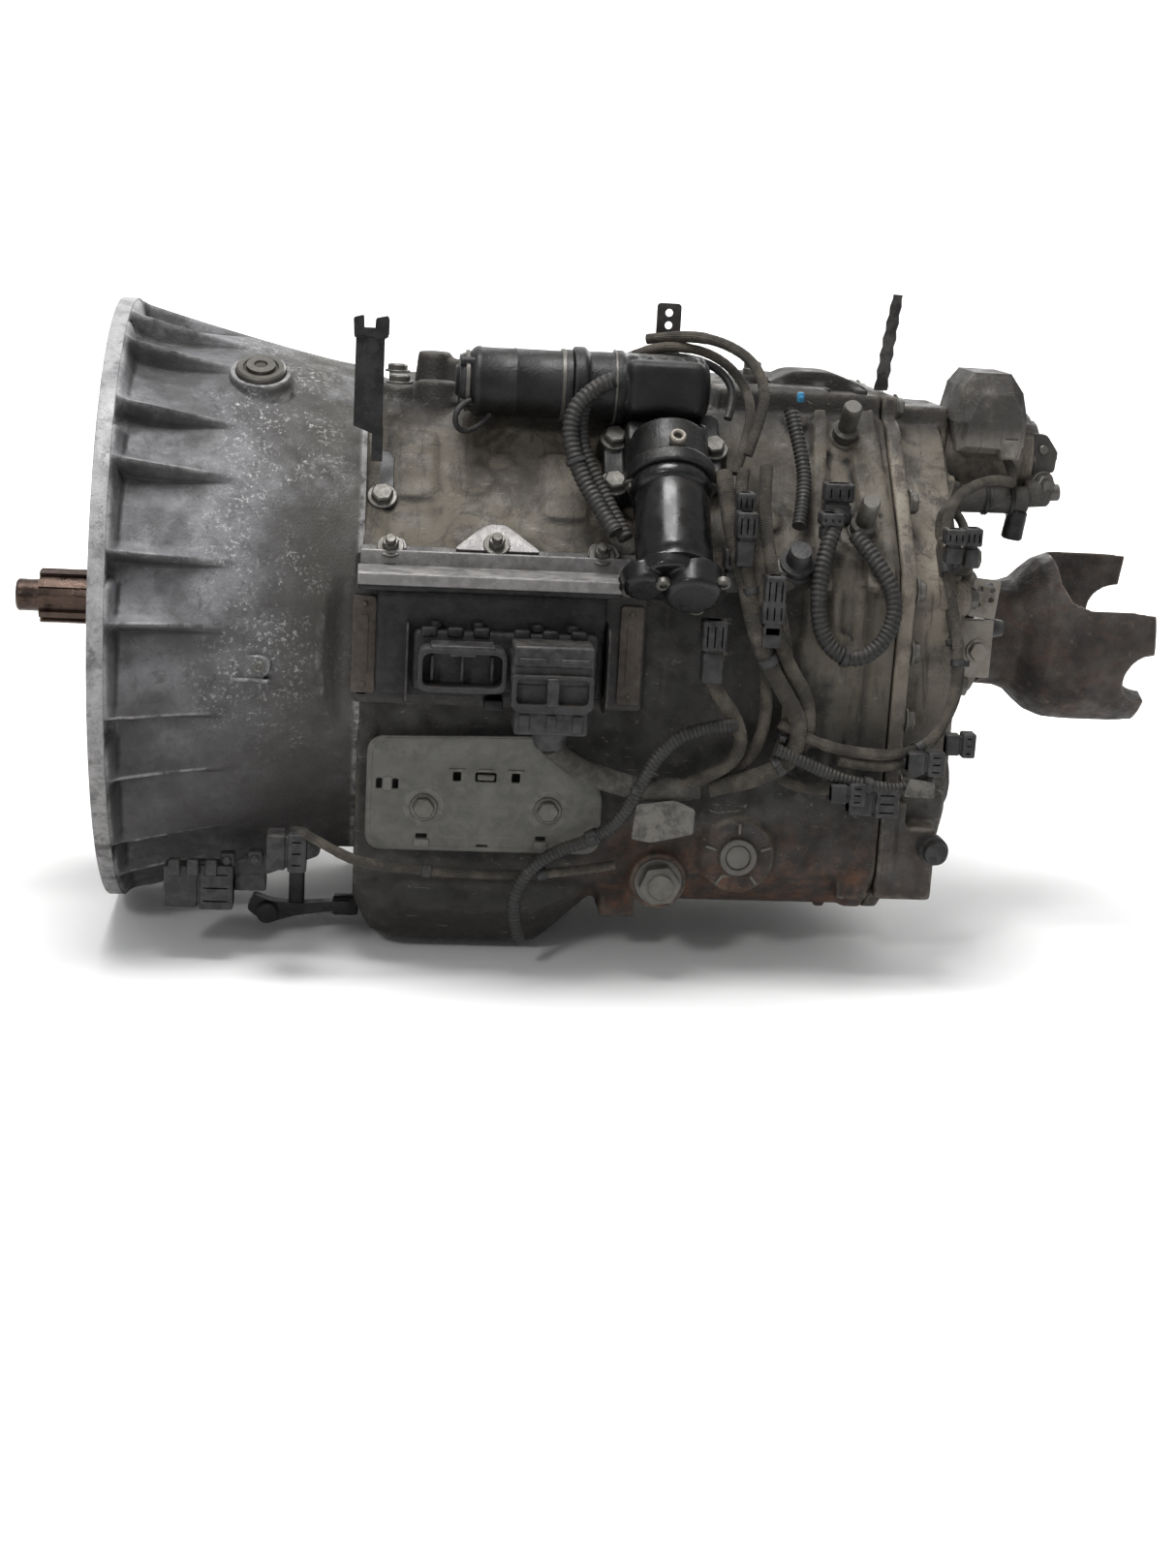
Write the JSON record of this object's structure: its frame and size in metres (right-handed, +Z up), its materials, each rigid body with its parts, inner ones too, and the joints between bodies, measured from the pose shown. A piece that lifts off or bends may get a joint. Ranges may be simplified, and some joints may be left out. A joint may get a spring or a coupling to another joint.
{
  "type": "manual transmission",
  "caption": "Heavy truck transmission: ribbed clutch housing, finned case, electric shifter, side controller, harness and output yoke, with working gear train.",
  "frame": {"origin": "centre of the clutch housing's engine face, on the shaft line", "axes": "+X back along the shaft line to the output yoke, +Z up, -Y the side with the controller"},
  "size_m": [1.067, 0.5894, 0.602],
  "materials": {
    "bell_aluminium": "bare casting, mottled grey oxide and bright scuffs",
    "case_casting": "grey casting under dry dust, rust stain low at the rear",
    "rear_casting": "dusty grey casting",
    "valve_casting": "small casting with dry dirt",
    "shifter_black": "satin black paint, scratched",
    "motor_gloss_black": "gloss black paint",
    "bracket_steel": "dark coated sheet steel, dusty",
    "controller_black": "matt black housing with pale dust",
    "connector_plastic": "moulded nylon, dusty",
    "zinc_steel": "dull zinc plate",
    "harness_sleeve": "corrugated sleeve, dust in its grooves",
    "input_steel": "ground steel, heat tinted and oily",
    "yoke_iron": "dark forged surface with fine rust",
    "gear_steel": "machined steel",
    "linkage_steel": "machined steel"
  },
  "bodies": {
    "root": {"clutch_housing": "bell_aluminium", "main_case": "case_casting", "rear_housing": "rear_casting", "shift_rail_housing": "case_casting", "input_bearing_cover": "rear_casting", "output_bearing_cover": "rear_casting", "pto_covers": "rear_casting", "actuator_housing": "shifter_black", "rail_motor": "shifter_black", "select_motor": "motor_gloss_black", "controller_bracket": "bracket_steel", "controller": "controller_black", "controller_plug": "connector_plastic", "side_shield": "bracket_steel", "strap_bracket": "bracket_steel", "perforated_brackets": "bracket_steel", "range_valve": "valve_casting", "range_cylinder": "rear_casting", "mounting_studs": "zinc_steel", "case_bolts": "zinc_steel", "threaded_plugs": "zinc_steel", "speed_sensors": "connector_plastic", "harness_cables": "harness_sleeve", "harness_connectors": "connector_plastic", "shaft_bearings": "gear_steel", "idler_axles": "gear_steel"},
    "input": {"input_shaft": "input_steel", "drive_gear": "gear_steel"},
    "upper_counter": {"upper_countershaft": "gear_steel", "upper_countershaft_gears": "gear_steel"},
    "lower_counter": {"lower_countershaft": "gear_steel", "lower_countershaft_gears": "gear_steel"},
    "overdrive": {"overdrive_gear": "gear_steel"},
    "third": {"third_gear": "gear_steel"},
    "second": {"second_gear": "gear_steel"},
    "first": {"first_gear": "gear_steel"},
    "reverse": {"reverse_gear": "gear_steel"},
    "upper_idler": {"upper_reverse_idler": "gear_steel"},
    "lower_idler": {"lower_reverse_idler": "gear_steel"},
    "main": {"mainshaft": "gear_steel", "thrust_washers": "gear_steel", "aux_drive_gear": "gear_steel"},
    "front_clutch": {"front_sliding_clutch": "gear_steel"},
    "middle_clutch": {"middle_sliding_clutch": "gear_steel"},
    "rear_clutch": {"rear_sliding_clutch": "gear_steel"},
    "front_rail": {"front_shift_rail": "linkage_steel"},
    "middle_rail": {"middle_shift_rail": "linkage_steel"},
    "rear_rail": {"rear_shift_rail": "linkage_steel"},
    "carriage": {"select_carriage": "linkage_steel"},
    "finger": {"shift_finger": "linkage_steel"},
    "upper_aux": {"upper_aux_countershaft": "gear_steel"},
    "lower_aux": {"lower_aux_countershaft": "gear_steel"},
    "range_low": {"range_low_gear": "gear_steel"},
    "output": {"output_shaft": "yoke_iron", "output_yoke": "yoke_iron", "yoke_nut": "yoke_iron"},
    "range_dog": {"range_clutch": "gear_steel"},
    "range_bar": {"range_shift_bar": "linkage_steel"},
    "release": {"release_shaft": "linkage_steel", "release_fork": "linkage_steel"}
  },
  "joints": [
    {"name": "input_spin", "type": "hinge", "parent": "root", "child": "input", "pos_m": [0, 0, 0], "axis": [1, 0, 0], "continuous": true},
    {"name": "upper_counter_spin", "type": "hinge", "parent": "root", "child": "upper_counter", "pos_m": [0.4, -0.08485, 0.08485], "axis": [1, 0, 0], "continuous": true},
    {"name": "lower_counter_spin", "type": "hinge", "parent": "root", "child": "lower_counter", "pos_m": [0.4, 0.08485, -0.08485], "axis": [1, 0, 0], "continuous": true},
    {"name": "overdrive_spin", "type": "hinge", "parent": "root", "child": "overdrive", "pos_m": [0.317, 0, 0], "axis": [1, 0, 0], "continuous": true},
    {"name": "third_spin", "type": "hinge", "parent": "root", "child": "third", "pos_m": [0.345, 0, 0], "axis": [1, 0, 0], "continuous": true},
    {"name": "second_spin", "type": "hinge", "parent": "root", "child": "second", "pos_m": [0.401, 0, 0], "axis": [1, 0, 0], "continuous": true},
    {"name": "first_spin", "type": "hinge", "parent": "root", "child": "first", "pos_m": [0.434, 0, 0], "axis": [1, 0, 0], "continuous": true},
    {"name": "reverse_spin", "type": "hinge", "parent": "root", "child": "reverse", "pos_m": [0.493, 0, 0], "axis": [1, 0, 0], "continuous": true},
    {"name": "upper_idler_spin", "type": "hinge", "parent": "root", "child": "upper_idler", "pos_m": [0.49, -0.09935, 0.03076], "axis": [1, 0, 0], "continuous": true},
    {"name": "lower_idler_spin", "type": "hinge", "parent": "root", "child": "lower_idler", "pos_m": [0.49, 0.09935, -0.03076], "axis": [1, 0, 0], "continuous": true},
    {"name": "main_spin", "type": "hinge", "parent": "root", "child": "main", "pos_m": [0.4, 0, 0], "axis": [1, 0, 0], "continuous": true},
    {"name": "front_rail_slide", "type": "slide", "parent": "root", "child": "front_rail", "axis": [1, 0, 0], "range_m": [-0.009, 0.009]},
    {"name": "select_slide", "type": "slide", "parent": "root", "child": "carriage", "axis": [0, 1, 0], "range_m": [-0.036, 0.036]},
    {"name": "finger_shift", "type": "slide", "parent": "carriage", "child": "finger", "axis": [1, 0, 0], "range_m": [-0.009, 0.009]},
    {"name": "middle_rail_slide", "type": "slide", "parent": "root", "child": "middle_rail", "axis": [1, 0, 0], "range_m": [-0.009, 0.009]},
    {"name": "rear_rail_slide", "type": "slide", "parent": "root", "child": "rear_rail", "axis": [1, 0, 0], "range_m": [-0.009, 0.009]},
    {"name": "front_clutch_slide", "type": "slide", "parent": "main", "child": "front_clutch", "axis": [1, 0, 0], "range_m": [-0.009, 0.009]},
    {"name": "middle_clutch_slide", "type": "slide", "parent": "main", "child": "middle_clutch", "axis": [1, 0, 0], "range_m": [-0.009, 0.009]},
    {"name": "rear_clutch_slide", "type": "slide", "parent": "main", "child": "rear_clutch", "axis": [1, 0, 0], "range_m": [-0.009, 0.009]},
    {"name": "upper_aux_spin", "type": "hinge", "parent": "root", "child": "upper_aux", "pos_m": [0.6, -0.08485, 0.08485], "axis": [1, 0, 0], "continuous": true},
    {"name": "lower_aux_spin", "type": "hinge", "parent": "root", "child": "lower_aux", "pos_m": [0.6, 0.08485, -0.08485], "axis": [1, 0, 0], "continuous": true},
    {"name": "range_low_spin", "type": "hinge", "parent": "root", "child": "range_low", "pos_m": [0.64, 0, 0], "axis": [1, 0, 0], "continuous": true},
    {"name": "output_spin", "type": "hinge", "parent": "root", "child": "output", "pos_m": [0.7, 0, 0], "axis": [1, 0, 0], "continuous": true},
    {"name": "range_bar_slide", "type": "slide", "parent": "root", "child": "range_bar", "axis": [1, 0, 0], "range_m": [-0.022, 0]},
    {"name": "range_dog_slide", "type": "slide", "parent": "output", "child": "range_dog", "axis": [1, 0, 0], "range_m": [-0.022, 0]},
    {"name": "release_swing", "type": "hinge", "parent": "root", "child": "release", "pos_m": [0.15, 0, -0.075], "axis": [0, 1, 0], "range_deg": [0, 15]}
  ],
  "couplings": [
    {"joint": "upper_counter_spin", "follows": "input_spin", "ratio": -1},
    {"joint": "lower_counter_spin", "follows": "input_spin", "ratio": -1},
    {"joint": "overdrive_spin", "follows": "input_spin", "ratio": 1.5},
    {"joint": "third_spin", "follows": "input_spin", "ratio": 0.66667},
    {"joint": "second_spin", "follows": "input_spin", "ratio": 0.5},
    {"joint": "first_spin", "follows": "input_spin", "ratio": 0.33333},
    {"joint": "reverse_spin", "follows": "input_spin", "ratio": -0.33333},
    {"joint": "upper_idler_spin", "follows": "input_spin", "ratio": 0.75},
    {"joint": "lower_idler_spin", "follows": "input_spin", "ratio": 0.75},
    {"joint": "upper_aux_spin", "follows": "main_spin", "ratio": -0.66667},
    {"joint": "lower_aux_spin", "follows": "main_spin", "ratio": -0.66667},
    {"joint": "range_low_spin", "follows": "main_spin", "ratio": 0.33333},
    {"joint": "output_spin", "follows": "main_spin", "ratio": 0.33333},
    {"joint": "front_clutch_slide", "follows": "front_rail_slide", "ratio": 1},
    {"joint": "middle_rail_slide", "follows": "finger_shift", "ratio": 1},
    {"joint": "middle_clutch_slide", "follows": "finger_shift", "ratio": 1},
    {"joint": "rear_clutch_slide", "follows": "rear_rail_slide", "ratio": 1},
    {"joint": "range_dog_slide", "follows": "range_bar_slide", "ratio": 1}
  ]
}
